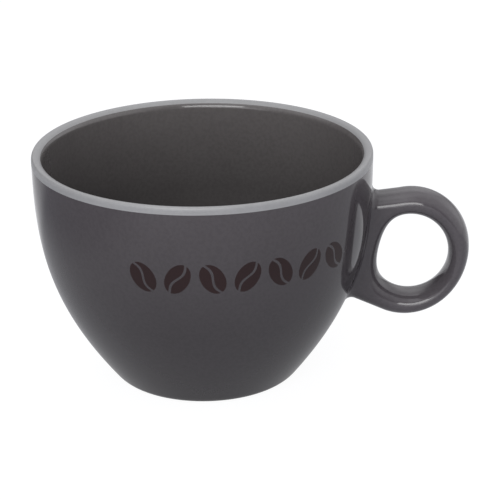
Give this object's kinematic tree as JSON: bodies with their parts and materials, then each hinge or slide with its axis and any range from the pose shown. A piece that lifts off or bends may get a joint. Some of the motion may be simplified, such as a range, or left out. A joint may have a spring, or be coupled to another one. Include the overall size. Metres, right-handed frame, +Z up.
{
  "type": "cappuccino cup",
  "caption": "Wide stoneware coffee cup, dark glaze inside and out, pale glazed lip, closed ring handle for one finger, standing on a bare foot ring.",
  "frame": {"origin": "on the cup's axis, in the plane of its standing ring", "axes": "+Z up along the cup's axis, +X out along the handle"},
  "size_m": [0.1549, 0.1204, 0.0836],
  "materials": {
    "stoneware": "matt, fired and unglazed",
    "slip": "matt, fired and unglazed",
    "dark_glaze": "glossy",
    "pale_glaze": "glossy"
  },
  "bodies": {
    "root": {"bowl": "stoneware", "ring_handle": "stoneware", "luting_slip": "slip", "outer_glaze": "dark_glaze", "inner_glaze": "dark_glaze", "rim_glaze": "pale_glaze", "handle_glaze": "dark_glaze", "base_glaze": "dark_glaze"}
  },
  "joints": []
}
